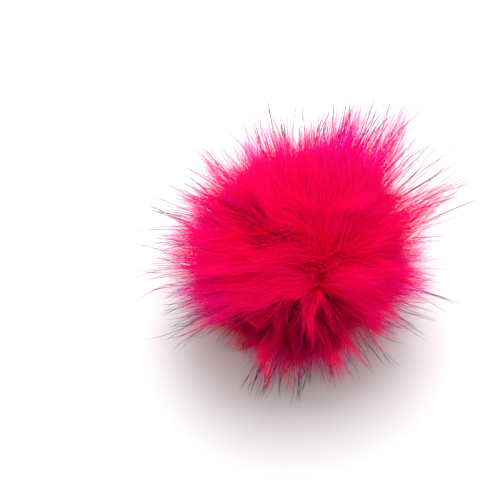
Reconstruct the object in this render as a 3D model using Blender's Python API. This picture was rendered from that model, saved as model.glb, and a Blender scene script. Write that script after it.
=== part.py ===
"""A pom pom of long-pile faux fur, about 100 mm across its dense pile and 150 mm over its longest hair.

A disc of fur cloth is gathered round its rim and drawn into a ball. The pile spreads from the place where
the rim closes, the whorl, so every lock leans away from it. The ball rests on a small flat spot, and the
locks beside it bend to lie along the surface below.

Frame: metres, +Z up. The origin is the centre of the flat spot. The whorl faces -Y and up.
"""

import math
import random
from collections import namedtuple

import bmesh
import bpy
from mathutils import Matrix, Vector

# The ball of gathered backing, with the matted roots of its pile
BACKING_RADIUS = 0.038
CENTRE_HEIGHT = 0.036
BALL_TURN = math.radians(20)

# The locks: one grows from each face of the ball, which is a cube blown up into a sphere
LOCKS_ACROSS = 7
ROOT_GAP = 0.0010
ROOT_SHIFT = 0.0016
BARE_BELOW = math.radians(-58)
PILE_REACH = 0.055
REACH_SPREAD = 0.08
TIP_WANDER = math.radians(3)

# Where each ring of a lock lies along it, and how wide it is beside the root
Ring = namedtuple("Ring", "along width")
RINGS = (
    Ring(along=0.34, width=0.92),
    Ring(along=0.64, width=0.46),
)
FLOOR_GAP = 0.0001

# The side of the ball that shows the whorl, and the whorl's place off its middle
FRONT_TILT = math.radians(50)
WHORL_RIGHT = 0.26
WHORL_UP = -0.09

# How far a lock leans away from the whorl, beside it and a quarter turn away from it
LEAN_AT_WHORL = math.radians(26)
LEAN_AT_SIDE = math.radians(7)

# Tufts that stand out of the pile and hollows between them. A bearing runs anticlockwise from +X round the
# front's axis, and polar is the angle from that axis, both in degrees. Extra is the reach beyond the
# ordinary pile, and below nothing in a hollow.
Tuft = namedtuple("Tuft", "bearing polar spread extra")
TUFTS = (
    Tuft(bearing=21, polar=84, spread=14, extra=0.022),
    Tuft(bearing=38, polar=88, spread=11, extra=0.012),
    Tuft(bearing=58, polar=88, spread=17, extra=0.020),
    Tuft(bearing=78, polar=90, spread=12, extra=0.009),
    Tuft(bearing=103, polar=90, spread=12, extra=0.007),
    Tuft(bearing=131, polar=88, spread=12, extra=0.010),
    Tuft(bearing=167, polar=88, spread=12, extra=0.011),
    Tuft(bearing=185, polar=84, spread=11, extra=0.012),
    Tuft(bearing=201, polar=82, spread=12, extra=0.015),
    Tuft(bearing=222, polar=78, spread=11, extra=0.008),
    Tuft(bearing=250, polar=78, spread=12, extra=0.014),
    Tuft(bearing=274, polar=78, spread=11, extra=0.014),
    Tuft(bearing=297, polar=80, spread=12, extra=0.010),
    Tuft(bearing=322, polar=84, spread=12, extra=0.009),
    Tuft(bearing=346, polar=86, spread=12, extra=0.014),
    Tuft(bearing=264, polar=40, spread=16, extra=0.002),
    Tuft(bearing=205, polar=52, spread=18, extra=0.002),
    Tuft(bearing=335, polar=48, spread=18, extra=0.002),
    Tuft(bearing=116, polar=84, spread=20, extra=-0.004),
    Tuft(bearing=150, polar=84, spread=18, extra=-0.005),
    Tuft(bearing=232, polar=74, spread=22, extra=-0.013),
    Tuft(bearing=306, polar=76, spread=22, extra=-0.011),
)
TUFT_PULL = 0.3

FUR_COLOUR = (0.83, 0.004, 0.09, 1.0)

CENTRE = Vector((0, 0, CENTRE_HEIGHT))
RIGHT = Vector((1, 0, 0))
FRONT = Vector((0, -math.cos(FRONT_TILT), math.sin(FRONT_TILT)))
UP = FRONT.cross(RIGHT)
WHORL = Vector((WHORL_RIGHT, WHORL_UP, math.sqrt(1 - WHORL_RIGHT**2 - WHORL_UP**2)))
WHORL = Matrix((RIGHT, UP, FRONT)).transposed() @ WHORL


def front_direction(bearing, polar):
    """The direction at these two angles, in radians, as Tuft describes them."""
    outward = math.cos(bearing) * RIGHT + math.sin(bearing) * UP
    return math.cos(polar) * FRONT + math.sin(polar) * outward


def bump(angle, spread):
    """1 at no angle, falling smoothly to 0 at the spread."""
    return 0.5 + 0.5 * math.cos(math.pi * min(angle / spread, 1.0))


def random_vector(size):
    """A vector with each part anywhere between this size and its negative."""
    return Vector([random.uniform(-size, size) for _ in range(3)])


def leaned(root):
    """The direction of the tip of a lock whose root has this direction: turned away from the whorl."""
    away = root.angle(WHORL)
    lean = LEAN_AT_SIDE + (LEAN_AT_WHORL - LEAN_AT_SIDE) * bump(away, math.pi / 2)
    lean *= math.sin(min(away * 3, math.pi / 2)) * bump(away, math.pi)
    return Matrix.Rotation(lean, 3, WHORL.cross(root)) @ root


def gathered(tip):
    """The tip's direction drawn towards the middle of the tufts near it, and their extra reach there."""
    extra = 0.0
    drawn = tip.copy()
    for tuft in TUFTS:
        middle = front_direction(math.radians(tuft.bearing), math.radians(tuft.polar))
        share = bump(tip.angle(middle), math.radians(tuft.spread))
        extra += share * tuft.extra
        if tuft.extra > 0:
            drawn += share * TUFT_PULL * (middle - tip)
    return drawn.normalized(), extra


def backing_ball():
    """A cube cut into a grid and blown up into a ball, its underside pressed flat."""
    ball = bmesh.new()
    bmesh.ops.create_cube(ball, size=2)
    bmesh.ops.subdivide_edges(ball, edges=ball.edges[:], cuts=LOCKS_ACROSS - 1, use_grid_fill=True)
    turn = Matrix.Rotation(BALL_TURN, 3, "Z")
    for vertex in ball.verts:
        # The tangent makes the steps along the cube's face equal angles seen from the centre.
        even = Vector([math.tan(x * math.pi / 4) for x in vertex.co]).normalized()
        outward = (turn @ even * BACKING_RADIUS + random_vector(ROOT_SHIFT)).normalized()
        vertex.co = CENTRE + outward * BACKING_RADIUS
        vertex.co.z = max(vertex.co.z, 0.0)
    ball.normal_update()
    return ball


def lock_points(root):
    """The points along a lock, from its root to its tip: it turns as it climbs, and stays off the floor."""
    outward = root - CENTRE
    direction = outward.normalized()
    tip_direction, extra = gathered(leaned(direction))
    tip_direction = (tip_direction + random_vector(TIP_WANDER)).normalized()
    reach = (PILE_REACH + extra) * random.uniform(1 - REACH_SPREAD, 1 + REACH_SPREAD)
    points = [root]
    for along in [ring.along for ring in RINGS] + [1.0]:
        distance = outward.length + (reach - outward.length) * along
        points.append(CENTRE + direction.slerp(tip_direction, along) * distance)
    for point in points[1:]:
        point.z = max(point.z, FLOOR_GAP)
    return points


def grow_lock(ball, face):
    """Draws the face out into a lock: a ring of four corners at a time, then a point."""
    root = face.calc_center_median()
    points = lock_points(root)
    outline = [loop.vert.co - root for loop in face.loops]
    for i, ring in enumerate(RINGS, start=1):
        face = bmesh.ops.extrude_discrete_faces(ball, faces=[face])["faces"][0]
        along = (points[i + 1] - points[i - 1]).normalized()
        corners = [points[i] + (side - side.project(along)) * ring.width for side in outline]
        lift = max(0.0, FLOOR_GAP - min(corner.z for corner in corners))
        for corner, loop in zip(corners, face.loops):
            loop.vert.co = corner + Vector((0, 0, lift))
    tip = bmesh.ops.poke(ball, faces=[face])["verts"][0]
    tip.co = points[-1]


def fur_material():
    """Dyed acrylic pile."""
    material = bpy.data.materials.new("fur")
    material.use_nodes = True
    shader = material.node_tree.nodes["Principled BSDF"]
    shader.inputs["Base Color"].default_value = FUR_COLOUR
    shader.inputs["Roughness"].default_value = 0.75
    shader.inputs["Metallic"].default_value = 0.0
    return material


def fur_ball():
    """The backing ball with its locks, as one object."""
    ball = backing_ball()
    grown = []
    for face in ball.faces:
        outward = (face.calc_center_median() - CENTRE).normalized()
        if math.asin(outward.z) > BARE_BELOW:
            grown.append(face)
    bmesh.ops.inset_individual(ball, faces=grown, thickness=ROOT_GAP)
    for face in grown:
        grow_lock(ball, face)
    bmesh.ops.recalc_face_normals(ball, faces=ball.faces[:])
    mesh = bpy.data.meshes.new("fur_ball")
    ball.to_mesh(mesh)
    ball.free()
    mesh.materials.append(fur_material())
    return bpy.data.objects.new("fur_ball", mesh)


def main():
    for old in list(bpy.data.objects):
        bpy.data.objects.remove(old)
    random.seed(17)
    parts = bpy.data.collections.new("pom_pom")
    bpy.context.scene.collection.children.link(parts)
    parts.objects.link(fur_ball())


main()
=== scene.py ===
"""The finish of the faux-fur pom pom: its stuffed ball, its pile, its loose wisps and its guard hairs.

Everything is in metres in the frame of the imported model: the ball rests on the floor at the origin, +Z is
up, and the whorl, where the rim of the fur disc is drawn shut, faces -Y and up.
"""

import math
from collections import namedtuple

import bpy
import numpy as np
from mathutils import Matrix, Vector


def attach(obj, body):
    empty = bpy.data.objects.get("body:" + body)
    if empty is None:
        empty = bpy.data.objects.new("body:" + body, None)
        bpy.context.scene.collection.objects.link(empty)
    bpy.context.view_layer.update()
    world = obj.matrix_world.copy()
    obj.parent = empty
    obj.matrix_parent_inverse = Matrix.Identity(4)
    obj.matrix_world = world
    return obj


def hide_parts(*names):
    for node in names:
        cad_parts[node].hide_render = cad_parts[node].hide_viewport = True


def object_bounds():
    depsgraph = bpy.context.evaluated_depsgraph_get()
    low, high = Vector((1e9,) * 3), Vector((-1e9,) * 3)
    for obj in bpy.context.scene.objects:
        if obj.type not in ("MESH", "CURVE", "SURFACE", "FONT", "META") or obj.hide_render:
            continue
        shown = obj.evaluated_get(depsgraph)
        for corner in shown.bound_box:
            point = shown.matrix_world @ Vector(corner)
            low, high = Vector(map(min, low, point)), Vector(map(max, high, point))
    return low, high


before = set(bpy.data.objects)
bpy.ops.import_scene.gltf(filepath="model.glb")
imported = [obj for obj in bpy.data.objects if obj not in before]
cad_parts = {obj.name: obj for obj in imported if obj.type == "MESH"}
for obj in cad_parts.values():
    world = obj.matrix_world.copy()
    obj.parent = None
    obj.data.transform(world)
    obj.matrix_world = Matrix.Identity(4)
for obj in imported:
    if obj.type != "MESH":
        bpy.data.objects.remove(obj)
cad_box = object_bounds()


# ---- The stuffed ball ---------------------------------------------------------------------------------
# A disc of woven backing, gathered by a thread round its rim and drawn shut over a ball of filling. It is
# dyed crimson as the pile is, and painted darker than the pile as painted shade between the locks.

CENTRE = np.array((0.0, 0.0, 0.036))
FRONT_TILT = math.radians(50)
RIGHT = np.array((1.0, 0.0, 0.0))
FRONT = np.array((0.0, -math.cos(FRONT_TILT), math.sin(FRONT_TILT)))
UP = np.cross(FRONT, RIGHT)

SKIN_RADIUS = 0.0335
SKIN_AROUND = 144
SKIN_DOWN = 72
SKIN_FLOOR = 0.0004
PUCKERS = 11
PUCKER_DEPTH = 0.0012


def unit(vectors):
    """Each vector along the last axis, divided by its own length."""
    return vectors / np.linalg.norm(vectors, axis=-1, keepdims=True)


def seen_at(right, up, reach=1.0):
    """The direction of the point at this distance whose parts along RIGHT and UP are these. The rest of it
    lies along FRONT."""
    right, up, reach = (np.asarray(part, dtype=float)[..., None] for part in (right, up, reach))
    ahead = np.sqrt(np.maximum(0.0, reach**2 - right**2 - up**2))
    return unit(right * RIGHT + up * UP + ahead * FRONT)


WHORL = seen_at(0.22, -0.10)
PARTING = seen_at(0.20, 0.04)


def about_whorl(bearing, away):
    """The direction at this angle away from the whorl, at this bearing round it."""
    side = unit(np.cross(UP, WHORL))
    over = np.cross(WHORL, side)
    ring = np.cos(bearing)[..., None] * side + np.sin(bearing)[..., None] * over
    return np.cos(away)[..., None] * WHORL + np.sin(away)[..., None] * ring


def new_piece(name, points, faces, material):
    """A mesh object of these points and faces, smooth and linked into the scene."""
    mesh = bpy.data.meshes.new(name)
    mesh.from_pydata(points, [], faces)
    mesh.polygons.foreach_set("use_smooth", np.ones(len(faces), dtype=bool))
    mesh.materials.append(material)
    piece = bpy.data.objects.new(name, mesh)
    bpy.context.scene.collection.objects.link(piece)
    return piece


def backing_with_painted_shade():
    """Crimson with fine streaks that run away from the whorl, from noise stretched along them, darker than
    the pile as painted shade.
    """
    material = bpy.data.materials.new("backing_with_painted_shade")
    material.use_nodes = True
    nodes, links = material.node_tree.nodes, material.node_tree.links
    shader = nodes["Principled BSDF"]
    place = nodes.new("ShaderNodeUVMap")
    place.uv_map = "around_whorl"
    stretch = nodes.new("ShaderNodeMapping")
    stretch.inputs["Scale"].default_value = (90, 5, 1)
    noise = nodes.new("ShaderNodeTexNoise")
    noise.inputs["Scale"].default_value = 3.0
    noise.inputs["Detail"].default_value = 4.0
    ramp = nodes.new("ShaderNodeValToRGB")
    # Painted shade: the backing is a darker crimson than the pile, for the shade deep between the locks.
    ramp.color_ramp.elements[0].position = 0.3
    ramp.color_ramp.elements[0].color = (0.50, 0.001, 0.03, 1)
    ramp.color_ramp.elements[1].position = 0.7
    ramp.color_ramp.elements[1].color = (0.75, 0.001, 0.05, 1)
    bump = nodes.new("ShaderNodeBump")
    bump.inputs["Strength"].default_value = 0.6
    bump.inputs["Distance"].default_value = 0.001
    links.new(place.outputs["UV"], stretch.inputs["Vector"])
    links.new(stretch.outputs["Vector"], noise.inputs["Vector"])
    links.new(noise.outputs["Fac"], ramp.inputs["Fac"])
    links.new(noise.outputs["Fac"], bump.inputs["Height"])
    links.new(ramp.outputs["Color"], shader.inputs["Base Color"])
    links.new(bump.outputs["Normal"], shader.inputs["Normal"])
    shader.inputs["Roughness"].default_value = 0.9
    shader.inputs["Specular IOR Level"].default_value = 0.05
    return material


def skin_ball():
    """Rings round the whorl's axis, from the whorl to the far side, on a sphere. Puckers, a wave round the
    whorl, fade out away from it, and the ball is pressed flat at the floor. Its poles are single points."""
    bearing = np.arange(SKIN_AROUND) / SKIN_AROUND * math.tau
    away = np.linspace(0, math.pi, SKIN_DOWN + 1)[1:-1]
    bearings, aways = np.meshgrid(bearing, away)
    pucker = PUCKER_DEPTH * np.cos(PUCKERS * bearings) * np.sin(aways) * np.exp(-((aways / 0.8) ** 2))
    rings = about_whorl(bearings, aways) * (SKIN_RADIUS + pucker)[..., None]
    poles = np.stack([WHORL, -WHORL]) * SKIN_RADIUS
    points = CENTRE + np.concatenate([poles[:1], rings.reshape(-1, 3), poles[1:]])
    points[:, 2] = np.maximum(points[:, 2], SKIN_FLOOR)
    here = 1 + np.arange(SKIN_AROUND)
    beside = 1 + (np.arange(SKIN_AROUND) + 1) % SKIN_AROUND
    last = (SKIN_DOWN - 2) * SKIN_AROUND
    cap = np.column_stack([np.zeros_like(here), here, beside])
    base = np.column_stack([np.full_like(here, len(points) - 1), beside + last, here + last])
    down = (np.arange(SKIN_DOWN - 2) * SKIN_AROUND)[:, None]
    near, far = here + down, beside + down
    bands = np.stack([near, near + SKIN_AROUND, far + SKIN_AROUND, far], axis=-1)
    faces = cap.tolist() + bands.reshape(-1, 4).tolist() + base.tolist()
    skin = new_piece("fur_backing", points, faces, backing_with_painted_shade())
    corners = np.concatenate([cap.ravel(), bands.ravel(), base.ravel()])
    places = np.zeros((len(points), 2))
    places[1:-1] = np.column_stack([bearings.ravel() / math.tau, aways.ravel() / math.pi])
    places[-1, 1] = 1.0
    layer = skin.data.uv_layers.new(name="around_whorl")
    layer.data.foreach_set("uv", places[corners].ravel())
    return skin


skin = skin_ball()
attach(skin, "root")
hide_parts("fur_ball")


# ---- The pile -----------------------------------------------------------------------------------------
# Cut acrylic fibres, knitted into the backing by their roots. They are dyed hot pink, and let light
# through, so thin places glow magenta and thick ones crimson. All of them lean away from the whorl.

BALL = 0.055
ROOT_DEPTH = 0.0325
LIGHT_DEPTH = 0.020
FLOOR_GAP = 0.0003
BOX_MARGIN = np.array((0.0062, 0.0060, 0.0100))
PILE_PIECES = 3
PILE_FIBRES = 18000
PILE_WIDTH = 0.00007
PILE_STEPS = np.array((0.0, 0.55, 1.0))
PILE_TAPER = np.array((1.0, 0.68))
PILE_HIGH = 0.86
LOOSE_SHARE = 0.36
LOOSE_LONGER = 1.2
LEAN_AT_WHORL = math.radians(27)
LEAN_AT_SIDE = math.radians(13)
UV_WIDTH = 0.01

# Painted shade darkens the pile low on the front, away from the lamp. Outside an oval on the front a painted
# glow of light through the fur lightens the tint, rising over a band round the oval, with less of it towards
# the back.
LOW_FRONT = seen_at(0.02, -0.88)
LOW_SHADE_SPREAD = math.radians(42)
LOW_SHADE_DARKENING = 0.70
GLOW_OVAL_RIGHT = 0.02
GLOW_OVAL_UP = 0.02
GLOW_OVAL_WIDE = 0.70
GLOW_OVAL_HIGH = 0.76
GLOW_BAND = 0.4
BACK_GLOW_FADE = 1.5
BACK_GLOW_LEAST = 0.25
# Painted light: the tint is lighter where the pile faces up, and a painted glow lightens it beside the
# outline seen from the front.
PALE_FROM = 0.2
PALE_OVER = 0.4
PALE_LEAST = 0.1
RIM_GLOW_DEPTH = 0.4

# How light a fibre's tint is to begin with, and how much lighter it is painted: a painted glow of light
# through the fur outside the oval and beside the outline, painted light where it faces up, and a lighter
# tint in the painted shade low on the front.
TINT_SPREAD = 0.08
LOOSE_TINT = 0.15
LOOSE_GLOW_TINT = 0.85
PILE_TINT = 0.08
PILE_GLOW_TINT = 0.24
PILE_TOP_LIGHT_TINT = 0.10
PILE_LOW_SHADE_TINT = 0.08
PILE_RIM_GLOW_TINT = 0.28
CLUMP_RISE = 0.5
BROAD_RISE = 0.2

# Where the pile lies higher and lower: the middle of each swell as seen from the front, in ball radii, the
# angle at which it ends, and its rise in ball radii.
Swell = namedtuple("Swell", "right up spread rise")
SWELLS = (
    Swell(right=0.08, up=-0.60, spread=40, rise=-0.26),
    Swell(right=0.02, up=-1.00, spread=30, rise=-0.10),
    Swell(right=-0.64, up=-0.76, spread=36, rise=-0.42),
    Swell(right=0.66, up=-0.75, spread=30, rise=-0.30),
    Swell(right=-0.28, up=0.14, spread=24, rise=0.02),
    Swell(right=-0.38, up=0.30, spread=22, rise=0.08),
    Swell(right=0.40, up=0.42, spread=24, rise=-0.05),
    Swell(right=0.74, up=0.62, spread=18, rise=0.05),
    Swell(right=0.52, up=0.85, spread=30, rise=0.25),
    Swell(right=-0.50, up=0.85, spread=30, rise=-0.10),
    Swell(right=-0.90, up=0.36, spread=24, rise=-0.10),
    Swell(right=0.20, up=0.30, spread=38, rise=0.08),
    Swell(right=-0.05, up=0.45, spread=20, rise=0.03),
    Swell(right=-0.34, up=-0.16, spread=22, rise=0.06),
    Swell(right=0.60, up=-0.12, spread=24, rise=0.05),
    Swell(right=0.16, up=0.03, spread=24, rise=0.22),
)


def bump_of(angle, spread):
    """1 at no angle, falling to 0 at the spread along half a cosine wave."""
    return 0.5 + 0.5 * np.cos(math.pi * np.minimum(angle / spread, 1.0))


def angle_between(first, second):
    """The angle whose cosine is the product of the two unit vectors."""
    return np.arccos(np.clip(np.sum(first * second, axis=-1), -1, 1))


def turned(directions, axes, angles):
    """Each direction turned about its axis: Rodrigues' formula."""
    cos, sin = np.cos(angles)[..., None], np.sin(angles)[..., None]
    along = np.sum(axes * directions, axis=-1, keepdims=True)
    return directions * cos + np.cross(axes, directions) * sin + axes * along * (1 - cos)


def between(starts, ends, share):
    """The direction this share of the way from start to end, along the arc between them."""
    angle = np.maximum(angle_between(starts, ends), 1e-6)[..., None]
    share = np.asarray(share)[..., None]
    return (np.sin((1 - share) * angle) * starts + np.sin(share * angle) * ends) / np.sin(angle)


def even_directions(count, turn):
    """Directions spread evenly over the sphere: a spiral whose turns follow the golden angle."""
    index = np.arange(count) + 0.5
    height = 1 - 2 * index / count
    bearing = index * math.pi * (3 - math.sqrt(5)) + turn
    level = np.sqrt(1 - height**2)
    return np.column_stack([level * np.cos(bearing), level * np.sin(bearing), height])


def lean_of(roots):
    """How far a strand leans: most beside the whorl, least a quarter turn away and at the far side."""
    away = angle_between(roots, WHORL)
    lean = LEAN_AT_SIDE + (LEAN_AT_WHORL - LEAN_AT_SIDE) * bump_of(away, math.pi / 2)
    return lean * np.sin(np.minimum(away * 1.3, math.pi / 2)) * bump_of(away, math.pi * 1.1)


def glow_outside_oval(directions):
    """How much painted glow of light through the fur lightens the tint: 0 inside the oval, rising evenly to
    1 across the band round it, and falling evenly again behind the outline."""
    right = (directions @ RIGHT - GLOW_OVAL_RIGHT) / GLOW_OVAL_WIDE
    up = (directions @ UP - GLOW_OVAL_UP) / GLOW_OVAL_HIGH
    ahead = directions @ FRONT
    out = np.clip((np.hypot(right, up) - 1) / GLOW_BAND, 0, 1)
    return np.where(ahead > 0, out, np.clip(1 + BACK_GLOW_FADE * ahead, BACK_GLOW_LEAST, 1))


def top_light_share(directions):
    """How much painted light lightens the tint where the pile faces up to the lamp: the painted glow, times
    a share that rises evenly as the pile faces up.
    """
    return glow_outside_oval(directions) * np.clip((directions[..., 2] - PALE_FROM) / PALE_OVER, PALE_LEAST, 1)


def rim_glow_share(directions):
    """The painted glow of light through the fur at the outline: 1 beside the outline seen from the front,
    falling to 0 on either side of it.
    """
    return np.clip(1 - np.abs(directions @ FRONT) / RIM_GLOW_DEPTH, 0, 1)


def away_from(middle, directions, angles):
    """These directions turned by these angles, straight away from the middle."""
    return turned(directions, unit(np.cross(middle, directions)), angles)


def new_waves(count, rate, push):
    """The rates, starts and pushes of this many sine waves that cross the sphere in random directions."""
    rates = rng.normal(scale=rate, size=(3, count))
    return rates, rng.uniform(0, math.tau, count), rng.normal(scale=push / math.sqrt(count), size=(count, 3))


def pushed(directions, waves):
    """The directions pushed aside by a smooth random field, the sum of the waves."""
    rates, starts, pushes = waves
    return unit(directions + np.sin(directions @ rates + starts) @ pushes)


def heights_of(directions, waves):
    """A smooth random field of small rises and falls, in ball radii, that goes with these waves."""
    rates, starts, pushes = waves
    return np.sin(directions @ rates + starts + 1.5) @ pushes[:, 0]


def swell_of(directions):
    """The rise of all the swells at these directions."""
    spread = np.radians([s.spread for s in SWELLS])
    middles = seen_at([s.right for s in SWELLS], [s.up for s in SWELLS])
    angle = np.arccos(np.clip(directions @ middles.T, -1, 1))
    return bump_of(angle, spread) @ np.array([s.rise for s in SWELLS])


def low_front_shade(directions):
    """How much painted shade darkens the pile: 1 low on the front, away from the lamp, falling to 0 all
    round that.
    """
    return bump_of(angle_between(directions, LOW_FRONT), LOW_SHADE_SPREAD)


def shade_of(paths):
    """How far each point stands from the roots, as a share of the depth at which the painted shade deep in
    the pile ends, and less of it low on the front, where painted shade darkens the pile."""
    reach = np.linalg.norm(paths - CENTRE, axis=-1)
    low_shade = low_front_shade((paths - CENTRE) / reach[..., None])
    return np.clip((reach - ROOT_DEPTH) / LIGHT_DEPTH, 0, 1) * (1 - LOW_SHADE_DARKENING * low_shade)


def room_along(directions):
    """The distance from the centre to the walls of the model's own box, let out by the margin."""
    low, high = np.array(cad_box[0]) - BOX_MARGIN - CENTRE, np.array(cad_box[1]) + BOX_MARGIN - CENTRE
    walls = np.where(directions > 0, high, low) / np.where(np.abs(directions) < 1e-6, 1e-6, directions)
    walls[..., 2] = np.where(directions[..., 2] > 0, walls[..., 2], np.inf)
    return np.min(walls, axis=-1)


def strand_paths(directions, top, steps, rise):
    """Points along each strand, as an array of strand, step and axis. The distance from the centre grows
    from the root depth to the top by the step raised to the power rise, and nothing goes below the floor."""
    top = np.minimum(top, room_along(directions[:, -1]))
    distance = ROOT_DEPTH + (top[:, None] - ROOT_DEPTH) * steps**rise
    paths = CENTRE + directions * distance[..., None]
    paths[..., 2] = np.maximum(paths[..., 2], FLOOR_GAP)
    return paths


def three_sided(name, paths, radii, tints, shades, material):
    """A mesh of strands: at each step of a path but the last, three corners stand square to it, and the
    last is a point. A strand's tint and its shade at each step are kept as places on the UV map."""
    count, steps = paths.shape[:2]
    along = unit(np.gradient(paths, axis=1))
    side = unit(np.cross(along, unit(rng.normal(size=(count, 1, 3)))))
    over = np.cross(along, side)
    turn = np.arange(3) / 3 * math.tau
    ring = np.cos(turn)[:, None] * side[:, :-1, None] + np.sin(turn)[:, None] * over[:, :-1, None]
    corners = paths[:, :-1, None] + ring * radii[:, :, None, None]
    corners[..., 2] = np.maximum(corners[..., 2], FLOOR_GAP / 2)
    points = np.concatenate([corners.reshape(count, -1, 3), paths[:, -1:]], axis=1)
    rings = steps - 1
    faces = [(2, 1, 0)]
    for low in range(0, 3 * rings - 3, 3):
        faces += [(low + j, low + (j + 1) % 3, low + 3 + (j + 1) % 3, low + 3 + j) for j in range(3)]
    tip = 3 * rings
    faces += [(tip - 3, tip - 2, tip), (tip - 2, tip - 1, tip), (tip - 1, tip - 3, tip)]
    sizes = np.array([len(face) for face in faces])
    loop = np.concatenate(faces)
    each = points.shape[1]
    loops = loop + each * np.arange(count)[:, None]
    starts = np.cumsum(sizes) - sizes + len(loop) * np.arange(count)[:, None]
    mesh = bpy.data.meshes.new(name)
    mesh.vertices.add(count * each)
    mesh.vertices.foreach_set("co", points.ravel())
    mesh.loops.add(loops.size)
    mesh.loops.foreach_set("vertex_index", loops.astype(np.int32).ravel())
    mesh.polygons.add(starts.size)
    mesh.polygons.foreach_set("loop_start", starts.astype(np.int32).ravel())
    mesh.update(calc_edges=True)
    of_step = np.append(np.repeat(np.arange(rings), 3), rings)[loop]
    width = np.append(np.tile(np.arange(3) / 3, rings), 0.5)[loop] * UV_WIDTH
    places = np.stack([tints[:, None] * (1 - UV_WIDTH) + width, shades[:, of_step]], -1)
    layer = mesh.uv_layers.new(name="OFBake")
    layer.data.foreach_set("uv", places.ravel().astype(np.float32))
    mesh.polygons.foreach_set("use_smooth", np.zeros(starts.size, dtype=bool))
    mesh.materials.append(material)
    piece = bpy.data.objects.new(name, mesh)
    bpy.context.scene.collection.objects.link(piece)
    return piece


def strand_colour(name, deep, light, glow, roughness):
    """Dyed acrylic: a colour ramp from root to tip for the deepest tint and one for the lightest, mixed by
    the strand's tint, and shaded partly as a solid and partly as a film that lets light through."""
    material = bpy.data.materials.new(name)
    material.use_nodes = True
    nodes, links = material.node_tree.nodes, material.node_tree.links
    place = nodes.new("ShaderNodeUVMap")
    place.uv_map = "OFBake"
    axes = nodes.new("ShaderNodeSeparateXYZ")
    links.new(place.outputs["UV"], axes.inputs["Vector"])
    ramps = []
    for colours in (deep, light):
        ramp = nodes.new("ShaderNodeValToRGB")
        first, last = ramp.color_ramp.elements
        first.position, first.color = colours[0][0], (*colours[0][1], 1)
        last.position, last.color = colours[-1][0], (*colours[-1][1], 1)
        for position, colour in colours[1:-1]:
            ramp.color_ramp.elements.new(position).color = (*colour, 1)
        links.new(axes.outputs["Y"], ramp.inputs["Fac"])
        ramps.append(ramp)
    blend = nodes.new("ShaderNodeMix")
    blend.data_type = "RGBA"
    links.new(axes.outputs["X"], blend.inputs["Factor"])
    links.new(ramps[0].outputs["Color"], blend.inputs[6])
    links.new(ramps[1].outputs["Color"], blend.inputs[7])
    solid = nodes["Principled BSDF"]
    solid.inputs["Roughness"].default_value = roughness
    solid.inputs["Specular IOR Level"].default_value = 0.02
    film = nodes.new("ShaderNodeBsdfTranslucent")
    mix = nodes.new("ShaderNodeMixShader")
    mix.inputs["Fac"].default_value = glow
    links.new(blend.outputs[2], solid.inputs["Base Color"])
    links.new(blend.outputs[2], film.inputs["Color"])
    links.new(solid.outputs["BSDF"], mix.inputs[1])
    links.new(film.outputs["BSDF"], mix.inputs[2])
    links.new(mix.outputs["Shader"], nodes["Material Output"].inputs["Surface"])
    return material


# Painted shade: both ramps darken towards the roots, deep in the pile, and the light one turns magenta
# towards the tips as a painted glow of light through them.
PILE_DEEP = (
    (0.0, (0.25, 0.0005, 0.01)),
    (0.22, (0.50, 0.0005, 0.03)),
    (0.42, (1.0, 0.0005, 0.10)),
    (0.75, (1.0, 0.001, 0.11)),
    (1.0, (0.97, 0.001, 0.11)),
)
PILE_LIGHT = (
    (0.0, (0.40, 0.0005, 0.04)),
    (0.35, (0.95, 0.001, 0.20)),
    (0.6, (1.0, 0.002, 0.48)),
    (0.8, (1.0, 0.003, 0.80)),
    (1.0, (1.0, 0.004, 0.86)),
)

pile_colour = strand_colour("pile", PILE_DEEP, PILE_LIGHT, glow=0.5, roughness=0.6)

rng = np.random.default_rng(11)
broad_waves = new_waves(14, rate=5.0, push=0.26)
lock_waves = new_waves(24, rate=9.0, push=0.075)
clump_waves = new_waves(40, rate=18.0, push=0.09)

roots = even_directions(PILE_PIECES * PILE_FIBRES, 0.0)
roots = unit(roots + rng.normal(scale=0.012, size=roots.shape))
everywhere = roots[np.argsort(np.arctan2(roots[:, 1], roots[:, 0]))]

for number, roots in enumerate(np.array_split(everywhere, PILE_PIECES), start=1):
    count = len(roots)
    loose = rng.random(count) < LOOSE_SHARE
    tips = away_from(PARTING, roots, lean_of(roots) * rng.uniform(0.75, 1.25, count))
    tips = pushed(pushed(pushed(tips, broad_waves), lock_waves), clump_waves)
    tips = unit(tips + rng.normal(size=tips.shape) * np.where(loose, 0.08, 0.04)[:, None])
    rise = swell_of(tips) + CLUMP_RISE * heights_of(tips, clump_waves)
    rise += BROAD_RISE * heights_of(tips, broad_waves)
    full = BALL * (PILE_HIGH + rise)
    length = np.where(loose, 0.9 + LOOSE_LONGER * rng.random(count) ** 2, 1 - 0.4 * rng.random(count))
    directions = between(roots[:, None], tips[:, None], np.ones((count, 1)) * PILE_STEPS**1.2)
    paths = strand_paths(directions, ROOT_DEPTH + (full - ROOT_DEPTH) * length, PILE_STEPS, rise=0.9)
    paths[:, 1:-1] += rng.normal(scale=0.0003, size=(count, len(PILE_STEPS) - 2, 3))
    radii = PILE_WIDTH * (rng.uniform(0.75, 1.2, count) - 0.35 * loose)[:, None] * PILE_TAPER
    # Painted light in the tints: a painted glow through the fur outside the oval and beside the outline,
    # painted light where the pile faces up, and a lighter tint in the painted shade low on the front.
    loose_tints = LOOSE_TINT + LOOSE_GLOW_TINT * glow_outside_oval(tips)
    pile_tints = PILE_TINT + PILE_GLOW_TINT * glow_outside_oval(tips) + PILE_TOP_LIGHT_TINT * top_light_share(tips)
    tints = np.where(loose, loose_tints, pile_tints) + rng.normal(scale=TINT_SPREAD, size=count)
    tints += PILE_LOW_SHADE_TINT * low_front_shade(tips) + PILE_RIM_GLOW_TINT * rim_glow_share(tips)
    tints = np.clip(tints, 0, 1)
    pile = three_sided(f"pile_{number}", paths, radii, tints, shade_of(paths), pile_colour)
    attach(pile, "root")
    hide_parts("fur_ball")


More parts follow.
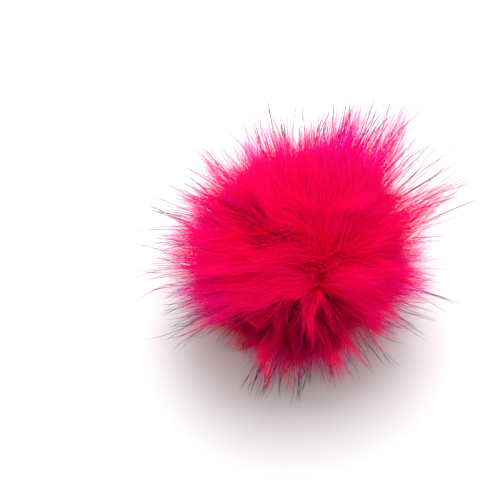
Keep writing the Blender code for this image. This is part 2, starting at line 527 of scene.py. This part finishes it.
# ---- The swathes --------------------------------------------------------------------------------------
# Longer pile of the same fibre that clings together in swathes and points and lies over the rest. Some
# start at the whorl and sweep across the front, and the others stand out all round the ball.

SWATHE_PIECES = 2
SWATHE_FIBRES = 11500
SWATHE_WIDTH = 0.00007
SWATHE_STEPS = np.array((0.0, 0.4, 0.75, 1.0))
SWATHE_TAPER = np.array((1.0, 0.9, 0.5))
SWATHE_CROWN = 0.04
OTHER_SWATHES = 150
OWN_MORE = 2.0
ASTRAY_SHARE = 0.06
ASTRAY_HIGHER = 0.0012
ASTRAY_BEND = 0.0045
SWATHE_BEND = 0.0012
SWATHE_TINT = 0.08
SWATHE_TOP_LIGHT_TINT = 0.14
SWATHE_TIP_GLOW_TINT = 0.3
SWATHE_LOW_SHADE_TINT = 0.18
SWATHE_RIM_GLOW_TINT = 0.28
ASTRAY_TINT = 0.3

# The swathes on the side that shows the whorl. Each leaves from (right, up), bends towards (bend_right,
# bend_up) and ends at (tip_right, tip_up), as seen from the front, in ball radii. Reach is the tip's
# distance from the middle, high is that of the swathe's crest, and wide is its half width in degrees.
Swathe = namedtuple("Swathe", "right up bend_right bend_up tip_right tip_up reach high wide share")
SWATHES = (
    Swathe(0.36, -0.10, -0.10, -0.16, -0.98, -0.24, 1.06, 1.00, 5, 1.1),
    Swathe(0.32, -0.13, -0.15, -0.22, -0.92, -0.38, 1.04, 1.01, 5, 1.1),
    Swathe(0.30, -0.15, -0.18, -0.22, -0.94, -0.58, 1.14, 1.01, 3, 0.5),
    Swathe(0.24, -0.17, -0.14, -0.28, -0.60, -0.40, 0.94, 0.97, 5, 0.6),
    Swathe(0.30, -0.06, -0.12, -0.08, -0.98, -0.08, 1.08, 0.98, 8, 1.1),
    Swathe(0.46, 0.06, 0.10, 0.00, -0.30, -0.04, 0.97, 0.98, 6, 0.8),
    Swathe(0.40, 0.10, 0.08, 0.08, -0.24, 0.12, 0.95, 0.97, 5, 0.5),
    Swathe(0.14, -0.03, -0.20, 0.00, -0.62, 0.00, 0.98, 0.96, 9, 0.9),
    Swathe(-0.32, -0.06, -0.62, 0.02, -1.08, 0.02, 1.10, 0.90, 14, 1.3),
    Swathe(-0.46, 0.08, -0.70, 0.20, -1.05, 0.24, 1.10, 0.89, 12, 1.1),
    Swathe(-0.50, 0.26, -0.75, 0.38, -1.00, 0.50, 1.13, 0.88, 7, 0.6),
    Swathe(-0.14, 0.28, -0.45, 0.50, -0.82, 0.84, 1.19, 0.92, 6, 0.7),
    Swathe(-0.18, 0.28, -0.45, 0.45, -0.72, 0.70, 1.06, 0.93, 9, 0.7),
    Swathe(0.26, -0.08, -0.06, 0.28, -0.50, 0.70, 0.98, 0.94, 16, 2.0),
    Swathe(0.24, -0.04, -0.02, 0.40, -0.34, 0.80, 1.00, 0.98, 11, 1.3),
    Swathe(0.02, 0.26, -0.22, 0.60, -0.50, 0.92, 1.08, 0.95, 7, 0.8),
    Swathe(0.22, 0.00, 0.04, 0.42, -0.20, 0.96, 1.02, 0.97, 12, 1.1),
    Swathe(0.24, 0.00, 0.14, 0.46, 0.06, 1.02, 1.07, 0.96, 10, 1.1),
    Swathe(0.28, 0.00, 0.28, 0.50, 0.26, 0.98, 1.04, 0.97, 12, 1.2),
    Swathe(0.30, -0.08, 0.36, 0.30, 0.34, 0.74, 0.98, 0.97, 15, 1.8),
    Swathe(0.34, -0.08, 0.62, 0.20, 0.86, 0.50, 1.00, 0.95, 14, 1.7),
    Swathe(0.30, 0.02, 0.42, 0.55, 0.46, 1.14, 1.24, 0.98, 6, 1.1),
    Swathe(0.32, 0.02, 0.50, 0.50, 0.58, 1.03, 1.19, 0.98, 9, 1.2),
    Swathe(0.40, 0.25, 0.58, 0.52, 0.68, 1.10, 1.30, 0.95, 4, 0.5),
    Swathe(0.38, 0.08, 0.55, 0.35, 0.74, 0.62, 0.98, 0.96, 10, 0.9),
    Swathe(0.40, 0.02, 0.78, 0.18, 1.30, 0.56, 1.46, 0.94, 9, 1.3),
    Swathe(0.40, -0.02, 0.65, 0.06, 1.02, 0.16, 1.05, 0.94, 12, 1.0),
    Swathe(0.10, -0.09, 0.50, -0.10, 1.02, -0.08, 1.07, 1.00, 6, 0.9),
    Swathe(0.10, -0.12, 0.52, -0.18, 1.04, -0.20, 1.08, 1.01, 6, 1.1),
    Swathe(0.14, -0.17, 0.48, -0.26, 0.82, -0.44, 0.99, 0.99, 6, 0.9),
    Swathe(0.24, -0.24, 0.45, -0.36, 0.64, -0.52, 0.90, 0.95, 5, 0.4),
    Swathe(0.17, -0.28, 0.20, -0.42, 0.09, -0.70, 1.00, 1.00, 3, 0.30),
    Swathe(0.15, -0.26, 0.10, -0.42, -0.04, -0.66, 0.98, 0.98, 3, 0.14),
    Swathe(0.14, -0.26, -0.02, -0.36, -0.20, -0.58, 0.94, 0.96, 3, 0.12),
    Swathe(0.08, -0.22, -0.14, -0.36, -0.34, -0.60, 0.93, 0.95, 4, 0.15),
    Swathe(0.22, -0.26, 0.28, -0.46, 0.30, -0.66, 0.95, 0.90, 4, 0.12),
    Swathe(-0.10, -0.50, -0.23, -0.66, -0.28, -1.02, 1.09, 0.78, 4, 0.9),
    Swathe(-0.02, -0.50, -0.06, -0.70, -0.06, -1.04, 1.09, 0.78, 4, 0.7),
    Swathe(0.14, -0.46, 0.20, -0.70, 0.27, -1.00, 1.08, 0.80, 4, 0.8),
    Swathe(0.32, -0.42, 0.46, -0.60, 0.56, -0.88, 1.05, 0.80, 4, 0.35),
    Swathe(0.42, -0.34, 0.60, -0.50, 0.76, -0.64, 1.01, 0.82, 4, 0.25),
)
FRONT_CLEAR = math.radians(62)


def along_arc(swathe, share):
    """The direction at this share of each swathe's bent arc, by De Casteljau's construction."""
    first = between(swathe_start[swathe], swathe_bend[swathe], share)
    second = between(swathe_bend[swathe], swathe_tip[swathe], share)
    return between(first, second, share)


def swathe_paths(swathe, share, aside, top, steps, rise):
    """Points along strands of the swathes. Each runs over its own stretch of the arc, stands aside from it
    by an angle that closes up towards the tip, and ends at its top."""
    along = share[:, :1] + (share[:, 1:] - share[:, :1]) * steps
    spine = along_arc(swathe[:, None], along)
    ahead = along_arc(swathe[:, None], along + 0.02)
    side = unit(np.cross(spine, ahead))
    angle = aside[:, None] * (1 - 0.8 * along**1.5)
    return strand_paths(pushed(spine + side * np.tan(angle)[..., None], lock_waves), top, steps, rise)


own = [seen_at([s.right for s in SWATHES], [s.up for s in SWATHES])]
own += [seen_at([s.bend_right for s in SWATHES], [s.bend_up for s in SWATHES])]
own += [seen_at([s.tip_right for s in SWATHES], [s.tip_up for s in SWATHES], [s.reach for s in SWATHES])]
others = even_directions(OTHER_SWATHES, 0.7)
others = unit(others + rng.normal(scale=0.06, size=others.shape))
others = others[angle_between(others, FRONT) > FRONT_CLEAR]
lean = lean_of(others) + math.radians(6)
swathe_start = np.concatenate([own[0], away_from(WHORL, others, -lean)])
swathe_bend = np.concatenate([own[1], unit(others + rng.normal(scale=0.04, size=others.shape))])
other_tips = unit(away_from(WHORL, others, lean) + rng.normal(scale=0.12, size=others.shape))
swathe_tip = np.concatenate([own[2], other_tips])
other_rise = swell_of(other_tips)
other_rise *= np.where(other_rise < 0, 2.0, 1.3)
swathe_high = np.append([s.high for s in SWATHES], rng.uniform(0.84, 0.92, len(others)) + other_rise)
swathe_reach = np.append([s.reach for s in SWATHES], rng.uniform(1.0, 1.22, len(others)) + 1.6 * other_rise)
swathe_wide = np.radians(np.append([s.wide for s in SWATHES], rng.uniform(6, 14, len(others))))
own_share = np.array([s.share for s in SWATHES]) * OWN_MORE
other_share = np.degrees(swathe_wide[len(SWATHES) :]) * 0.06 * np.maximum(1 + 6 * other_rise, 0.03)
swathe_share = np.append(own_share, other_share)

for number in range(1, SWATHE_PIECES + 1):
    swathe = rng.choice(len(swathe_share), SWATHE_FIBRES, p=swathe_share / swathe_share.sum())
    end = 1 - 0.7 * rng.random(SWATHE_FIBRES) ** 1.2
    begin = np.maximum(end - rng.uniform(0.35, 0.6, SWATHE_FIBRES), 0.04)
    spread = np.clip(rng.normal(scale=0.5, size=SWATHE_FIBRES), -1.3, 1.3)
    crest = swathe_high[swathe] - SWATHE_CROWN * spread**2
    top = BALL * (crest + (swathe_reach[swathe] - crest) * end**3)
    top = ROOT_DEPTH + (top - ROOT_DEPTH) * (1 - 0.3 * rng.random(SWATHE_FIBRES) ** 1.5)
    astray = rng.random(SWATHE_FIBRES) < ASTRAY_SHARE
    top += ASTRAY_HIGHER * astray
    aside = swathe_wide[swathe] * spread
    paths = swathe_paths(swathe, np.column_stack([begin, end]), aside, top, SWATHE_STEPS, rise=0.75)
    bend = np.where(astray, ASTRAY_BEND, SWATHE_BEND)[:, None, None]
    stray = rng.normal(size=(SWATHE_FIBRES, 1, 3)) * bend
    paths += stray * SWATHE_STEPS[:, None] ** 2 + rng.normal(scale=0.00025, size=paths.shape)
    paths = np.clip(paths, np.array(cad_box[0]) - BOX_MARGIN, np.array(cad_box[1]) + BOX_MARGIN)
    paths[..., 2] = np.maximum(paths[..., 2], FLOOR_GAP)
    radii = SWATHE_WIDTH * (rng.uniform(0.7, 1.15, SWATHE_FIBRES) + 0.3 * astray)[:, None] * SWATHE_TAPER
    tips = unit(paths[:, -1] - CENTRE)
    # Painted light in the tints: painted light where the swathes face up, a painted glow at their tips
    # outside the oval and beside the outline, and a lighter tint in the painted shade low on the front.
    tints = rng.normal(SWATHE_TINT, TINT_SPREAD, SWATHE_FIBRES) + SWATHE_TOP_LIGHT_TINT * top_light_share(tips)
    tints += SWATHE_TIP_GLOW_TINT * end**8 * glow_outside_oval(tips) + SWATHE_RIM_GLOW_TINT * end**4 * rim_glow_share(tips)
    tints += SWATHE_LOW_SHADE_TINT * low_front_shade(tips) + ASTRAY_TINT * astray
    tints = np.clip(tints, 0, 1)
    swathes = three_sided(f"swathes_{number}", paths, radii, tints, shade_of(paths), pile_colour)
    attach(swathes, "root")
    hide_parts("fur_ball")


# ---- The guard hairs ----------------------------------------------------------------------------------
# Longer, straighter single hairs knitted in among the pile. They are pink where they leave it and printed
# dark grey towards their tips, and cling together by twos and threes.

GUARD_HAIRS = 620
GUARD_CLUSTERS = 300
GUARD_REACH = (1.12, 1.45)
GUARD_WIDTH = 0.00013
GUARD_ROOT = 0.034
GUARD_STEPS = np.array((0.0, 0.3, 0.55, 0.78, 1.0))
GUARD_TAPER = np.array((1.0, 1.0, 1.0, 0.85))
GUARD_CURVE = 0.0015
GUARD_CLEAR = math.radians(105)
GUARD_MORE = 2.5
GUARD_SPREAD = 0.035
GUARD_LENGTH = (0.76, 1.03)

# Where the longest hairs of the front's outline end, seen from the front in ball radii, and how many cling
# together there.
Tip = namedtuple("Tip", "right up hairs")
GUARD_TIPS = (
    Tip(1.40, 0.64, 6),
    Tip(1.33, 0.55, 4),
    Tip(1.44, 0.44, 3),
    Tip(1.18, 0.70, 3),
    Tip(1.30, 0.84, 3),
    Tip(1.28, 0.98, 3),
    Tip(1.08, 0.90, 4),
    Tip(1.12, 1.10, 3),
    Tip(1.00, 1.24, 3),
    Tip(0.90, 1.06, 5),
    Tip(0.74, 1.20, 10),
    Tip(0.64, 1.32, 6),
    Tip(0.62, 1.06, 9),
    Tip(0.50, 1.36, 6),
    Tip(0.42, 1.18, 10),
    Tip(0.28, 1.32, 5),
    Tip(0.16, 1.16, 6),
    Tip(0.02, 1.28, 5),
    Tip(-0.10, 1.14, 5),
    Tip(-0.24, 1.24, 5),
    Tip(-0.34, 1.06, 4),
    Tip(-0.46, 1.20, 4),
    Tip(-0.52, 1.00, 5),
    Tip(-0.66, 0.94, 3),
    Tip(-0.82, 0.90, 6),
    Tip(-0.94, 0.74, 3),
    Tip(-1.05, 0.58, 3),
    Tip(-1.20, 0.42, 3),
    Tip(-1.14, 0.30, 2),
    Tip(-1.27, 0.16, 4),
    Tip(-1.18, 0.04, 3),
    Tip(-1.30, -0.10, 4),
    Tip(-1.16, -0.22, 4),
    Tip(-1.28, -0.36, 3),
    Tip(-1.08, -0.42, 5),
    Tip(-1.00, -0.52, 5),
    Tip(-1.04, -0.62, 3),
    Tip(-0.94, -0.72, 4),
    Tip(-0.40, -1.02, 8),
    Tip(-0.34, -1.14, 7),
    Tip(-0.26, -1.06, 8),
    Tip(-0.14, -1.10, 7),
    Tip(0.00, -1.20, 6),
    Tip(0.08, -1.08, 7),
    Tip(0.24, -1.12, 7),
    Tip(0.36, -1.06, 4),
    Tip(0.50, -1.04, 3),
    Tip(0.48, -0.92, 3),
    Tip(0.60, -0.86, 3),
    Tip(0.74, -0.88, 5),
    Tip(0.84, -0.68, 3),
    Tip(1.00, -0.62, 4),
    Tip(1.10, -0.46, 3),
    Tip(1.24, -0.40, 2),
    Tip(1.14, -0.22, 4),
    Tip(1.28, -0.12, 2),
    Tip(1.16, 0.02, 3),
    Tip(1.22, 0.18, 3),
)

GUARD_DEEP = (
    (0.0, (0.75, 0.002, 0.12)),
    (0.42, (0.60, 0.01, 0.14)),
    (0.58, (0.10, 0.012, 0.05)),
    (0.75, (0.012, 0.010, 0.012)),
    (1.0, (0.015, 0.012, 0.014)),
)
GUARD_LIGHT = (
    (0.0, (0.95, 0.002, 0.12)),
    (0.62, (0.95, 0.01, 0.36)),
    (0.82, (0.35, 0.02, 0.14)),
    (0.92, (0.05, 0.03, 0.04)),
    (1.0, (0.05, 0.04, 0.045)),
)

guard_colour = strand_colour("guard_hair", GUARD_DEEP, GUARD_LIGHT, glow=0.1, roughness=0.35)

spots = even_directions(GUARD_CLUSTERS, 1.3)
spots = unit(spots + rng.normal(scale=0.05, size=spots.shape))
spots = spots[angle_between(spots, FRONT) > GUARD_CLEAR]
spot_tips = unit(away_from(WHORL, spots, lean_of(spots) * 0.9) + rng.normal(scale=0.07, size=spots.shape))
spot_reach = rng.uniform(*GUARD_REACH, len(spots))
cluster = rng.integers(0, len(spots), GUARD_HAIRS)
own_reach = np.hypot([t.right for t in GUARD_TIPS], [t.up for t in GUARD_TIPS])
own_tips = seen_at([t.right for t in GUARD_TIPS], [t.up for t in GUARD_TIPS], own_reach)
own_tips = unit(own_tips + FRONT * rng.uniform(-0.12, 0.12, (len(GUARD_TIPS), 1)))
own_spots = away_from(WHORL, own_tips, -rng.uniform(0.1, 0.3, len(GUARD_TIPS)))
own_hairs = (np.array([t.hairs for t in GUARD_TIPS]) * GUARD_MORE).astype(int)
cluster = np.append(cluster, np.repeat(len(spots) + np.arange(len(GUARD_TIPS)), own_hairs))
spots, spot_tips = np.concatenate([spots, own_spots]), np.concatenate([spot_tips, own_tips])
spot_reach = np.append(spot_reach, own_reach)

count = len(cluster)
roots = unit(spots[cluster] + rng.normal(scale=0.06, size=(count, 3)))
tips = unit(spot_tips[cluster] + rng.normal(scale=GUARD_SPREAD, size=(count, 3)))
top = np.minimum(BALL * spot_reach[cluster] * rng.uniform(*GUARD_LENGTH, count), room_along(tips))
starts = CENTRE + roots * GUARD_ROOT
ends = CENTRE + tips * top[:, None]
ends[:, 2] = np.maximum(ends[:, 2], FLOOR_GAP + 0.002 * rng.random(count))
arch = rng.normal(scale=GUARD_CURVE, size=(count, 1, 3)) * (GUARD_STEPS * (1 - GUARD_STEPS) * 4)[:, None]
paths = starts[:, None] + (ends - starts)[:, None] * GUARD_STEPS[:, None] + arch
paths[..., 2] = np.maximum(paths[..., 2], FLOOR_GAP)
radii = GUARD_WIDTH * rng.uniform(0.7, 1.1, count)[:, None] * GUARD_TAPER
shades = np.tile(GUARD_STEPS, (count, 1))
hairs = three_sided("guard_hairs", paths, radii, rng.random(count) ** 1.5, shades, guard_colour)
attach(hairs, "root")
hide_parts("fur_ball")


# ---- The floor, the light and the camera --------------------------------------------------------------
# A seamless white floor, lit softly from above and a little from behind and from the right.

FLOOR_HALF = 2.0
FLOOR_COLOUR = (0.765, 0.780, 0.788, 1)
ROOM_LIGHT = 0.85
KEY_PLACE = (0.03, 0.46, 1.10)
KEY_SIZE = 1.05
KEY_POWER = 14.5
CAMERA_LENS = 85
CAMERA_SENSOR = 36
CAMERA_DISTANCE = 0.4918
AIM_RIGHT = -0.0196
AIM_UP = 0.0033
BOUNCES = 11

floor_paint = bpy.data.materials.new("floor")
floor_paint.use_nodes = True
floor_paint.node_tree.nodes["Principled BSDF"].inputs["Base Color"].default_value = FLOOR_COLOUR
floor_paint.node_tree.nodes["Principled BSDF"].inputs["Roughness"].default_value = 0.9
floor_paint.node_tree.nodes["Principled BSDF"].inputs["Specular IOR Level"].default_value = 0.1
corners = [(x * FLOOR_HALF, y * FLOOR_HALF, 0) for x, y in ((-1, -1), (1, -1), (1, 1), (-1, 1))]
floor = new_piece("floor", corners, [(0, 1, 2, 3)], floor_paint)

world = bpy.data.worlds.new("room")
world.use_nodes = True
world.node_tree.nodes["Background"].inputs["Color"].default_value = (1, 1, 1, 1)
world.node_tree.nodes["Background"].inputs["Strength"].default_value = ROOM_LIGHT
bpy.context.scene.world = world


def turned_to(place, target, kind):
    """The turn that points an object's -Z from its place at the target, its own Y as upright as can be."""
    back = unit(np.array(place) - np.array(target))
    side = unit(np.cross((0, 0, 1), back))
    turn = np.eye(4)
    turn[:3, 0], turn[:3, 1], turn[:3, 2], turn[:3, 3] = side, np.cross(back, side), back, place
    kind.matrix_world = Matrix(turn.tolist())


key = bpy.data.lights.new("key", "AREA")
key.shape = "DISK"
key.size = KEY_SIZE
key.energy = KEY_POWER
key_lamp = bpy.data.objects.new("key", key)
bpy.context.scene.collection.objects.link(key_lamp)
turned_to(KEY_PLACE, CENTRE, key_lamp)

lens = bpy.data.cameras.new("camera")
lens.lens = CAMERA_LENS
lens.sensor_width = CAMERA_SENSOR
lens.clip_start = 0.01
camera = bpy.data.objects.new("camera", lens)
bpy.context.scene.collection.objects.link(camera)
aim = CENTRE + RIGHT * AIM_RIGHT + UP * AIM_UP
turned_to(aim + FRONT * CAMERA_DISTANCE, aim, camera)
bpy.context.scene.camera = camera
bpy.context.scene.view_settings.view_transform = "Standard"
bpy.context.scene.cycles.max_bounces = BOUNCES
bpy.context.scene.cycles.diffuse_bounces = BOUNCES
bpy.context.scene.cycles.transmission_bounces = BOUNCES
